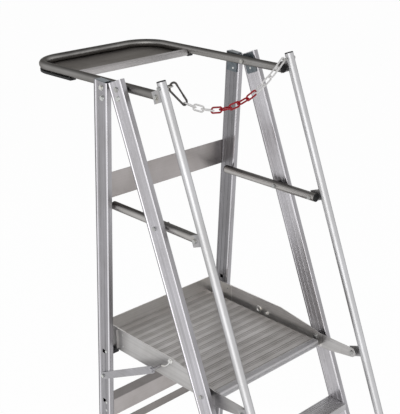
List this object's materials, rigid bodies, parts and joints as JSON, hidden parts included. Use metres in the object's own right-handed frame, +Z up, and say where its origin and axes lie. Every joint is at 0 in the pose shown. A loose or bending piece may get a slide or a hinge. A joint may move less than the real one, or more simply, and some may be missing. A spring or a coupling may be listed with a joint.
{
  "type": "podium step",
  "caption": "Folding aluminium podium step: ladder frame with treads, ribbed platform, guard rail with tool tray, handrails and a safety chain across the entry.",
  "frame": {"origin": "on the floor, under the middle of the open step's bounding box", "axes": "+Z up, +X to the user's right when climbing, +Y to the rear, where the tray is"},
  "size_m": [0.6532, 1.3596, 2.0258],
  "materials": {
    "mill_aluminium": "mill finish with fine drawn lines",
    "satin_aluminium": "satin",
    "bright_aluminium": "bright drawn tube",
    "zinc_steel": "zinc plated",
    "bolt_steel": "zinc plated",
    "black_plastic": "matte",
    "white_chain": "gloss",
    "red_chain": "gloss"
  },
  "bodies": {
    "front_frame": {"front_stile_left": "mill_aluminium", "front_stile_right": "mill_aluminium", "tread_lower": "satin_aluminium", "tread_middle": "satin_aluminium", "tread_upper": "satin_aluminium", "front_rivets": "bolt_steel", "hinge_bolts": "bolt_steel", "mid_rail_bolts": "bolt_steel", "platform_bolts": "bolt_steel", "front_foot_left": "black_plastic", "front_foot_right": "black_plastic", "mid_rail_spacers": "black_plastic", "platform_spacers": "black_plastic", "hinge_plate_front_left": "zinc_steel", "hinge_plate_front_right": "zinc_steel"},
    "rear_frame": {"rear_stile_left": "mill_aluminium", "rear_stile_right": "mill_aluminium", "rear_plate": "mill_aluminium", "rear_brace_strip": "mill_aluminium", "rear_brace_upper": "satin_aluminium", "rear_brace_lower": "satin_aluminium", "rear_rivets": "bolt_steel", "stay_bolts": "bolt_steel", "rear_foot_left": "black_plastic", "rear_foot_right": "black_plastic", "platform_rests": "black_plastic", "hinge_bracket_rear_left": "zinc_steel", "hinge_bracket_rear_right": "zinc_steel"},
    "platform": {"platform_planks": "satin_aluminium", "platform_nosing": "satin_aluminium", "side_plate_left": "satin_aluminium", "side_plate_right": "satin_aluminium", "toe_board": "satin_aluminium", "platform_rivets": "bolt_steel", "stay_nuts": "bolt_steel"},
    "guard_rail": {"guard_rail": "satin_aluminium", "tray_floor": "satin_aluminium", "tray_lip": "satin_aluminium", "rail_plugs": "black_plastic", "tray_bumper": "black_plastic", "tray_rivets": "bolt_steel"},
    "mid_rail_left": {"mid_rail_left": "satin_aluminium", "mid_rail_left_plugs": "black_plastic"},
    "mid_rail_right": {"mid_rail_right": "satin_aluminium", "mid_rail_right_plugs": "black_plastic"},
    "handrail_left": {"handrail_left": "bright_aluminium", "handrail_left_caps": "black_plastic", "handrail_left_straps": "zinc_steel", "handrail_left_bolts": "bolt_steel"},
    "handrail_right": {"handrail_right": "bright_aluminium", "handrail_right_caps": "black_plastic", "handrail_right_straps": "zinc_steel", "handrail_right_bolts": "bolt_steel"},
    "stay_left": {"stay_left": "mill_aluminium"},
    "stay_right": {"stay_right": "mill_aluminium"},
    "chain": {"carabiner": "bolt_steel", "chain_white_left": "white_chain", "chain_white_right": "white_chain", "chain_red": "red_chain"},
    "carabiner_gate": {"carabiner_gate": "bolt_steel"}
  },
  "joints": [
    {"name": "platform_fold", "type": "hinge", "parent": "front_frame", "child": "platform", "pos_m": [0, -0.26234, 0.98], "axis": [1, 0, 0], "range_deg": [0, 46.79]},
    {"name": "guard_rail_turn", "type": "hinge", "parent": "front_frame", "child": "guard_rail", "pos_m": [0, 0.11577, 1.965], "axis": [1, 0, 0], "range_deg": [0, 46.79]},
    {"name": "mid_rail_left_turn", "type": "hinge", "parent": "front_frame", "child": "mid_rail_left", "pos_m": [0, -0.05121, 1.53], "axis": [1, 0, 0], "range_deg": [0, 46.79]},
    {"name": "mid_rail_right_turn", "type": "hinge", "parent": "front_frame", "child": "mid_rail_right", "pos_m": [0, -0.05121, 1.53], "axis": [1, 0, 0], "range_deg": [0, 46.79]},
    {"name": "rear_frame_fold", "type": "hinge", "parent": "front_frame", "child": "rear_frame", "pos_m": [0, 0.11577, 1.965], "axis": [-1, 0, 0], "range_deg": [0, 18]},
    {"name": "handrail_left_link", "type": "hinge", "parent": "platform", "child": "handrail_left", "pos_m": [0, -0.43034, 0.98], "axis": [1, 0, 0], "range_deg": [-46.79, 0]},
    {"name": "handrail_right_link", "type": "hinge", "parent": "platform", "child": "handrail_right", "pos_m": [0, -0.43034, 0.98], "axis": [1, 0, 0], "range_deg": [-46.79, 0]},
    {"name": "stay_left_turn", "type": "hinge", "parent": "rear_frame", "child": "stay_left", "pos_m": [0, 0.28271, 0.825], "axis": [1, 0, 0], "range_deg": [-41.98, 0]},
    {"name": "stay_right_turn", "type": "hinge", "parent": "rear_frame", "child": "stay_right", "pos_m": [0, 0.28271, 0.825], "axis": [1, 0, 0], "range_deg": [-41.98, 0]},
    {"name": "chain_swing", "type": "hinge", "parent": "handrail_right", "child": "chain", "pos_m": [0, -0.08672, 2.00373], "axis": [1, 0, 0], "range_deg": [-30, 30]},
    {"name": "carabiner_gate_turn", "type": "hinge", "parent": "chain", "child": "carabiner_gate", "pos_m": [-0.20707, -0.08672, 1.96095], "axis": [0, 1, 0], "range_deg": [-14, 0], "stiffness_Nm_per_rad": 0.05, "springref_deg": 5.73}
  ],
  "couplings": [
    {"joint": "guard_rail_turn", "follows": "platform_fold", "ratio": 1},
    {"joint": "mid_rail_left_turn", "follows": "platform_fold", "ratio": 1},
    {"joint": "mid_rail_right_turn", "follows": "platform_fold", "ratio": 1},
    {"joint": "rear_frame_fold", "follows": "platform_fold", "ratio": 0.38468},
    {"joint": "handrail_left_link", "follows": "platform_fold", "ratio": -1},
    {"joint": "handrail_right_link", "follows": "platform_fold", "ratio": -1},
    {"joint": "stay_left_turn", "follows": "platform_fold", "ratio": -0.89704},
    {"joint": "stay_right_turn", "follows": "platform_fold", "ratio": -0.89704}
  ]
}
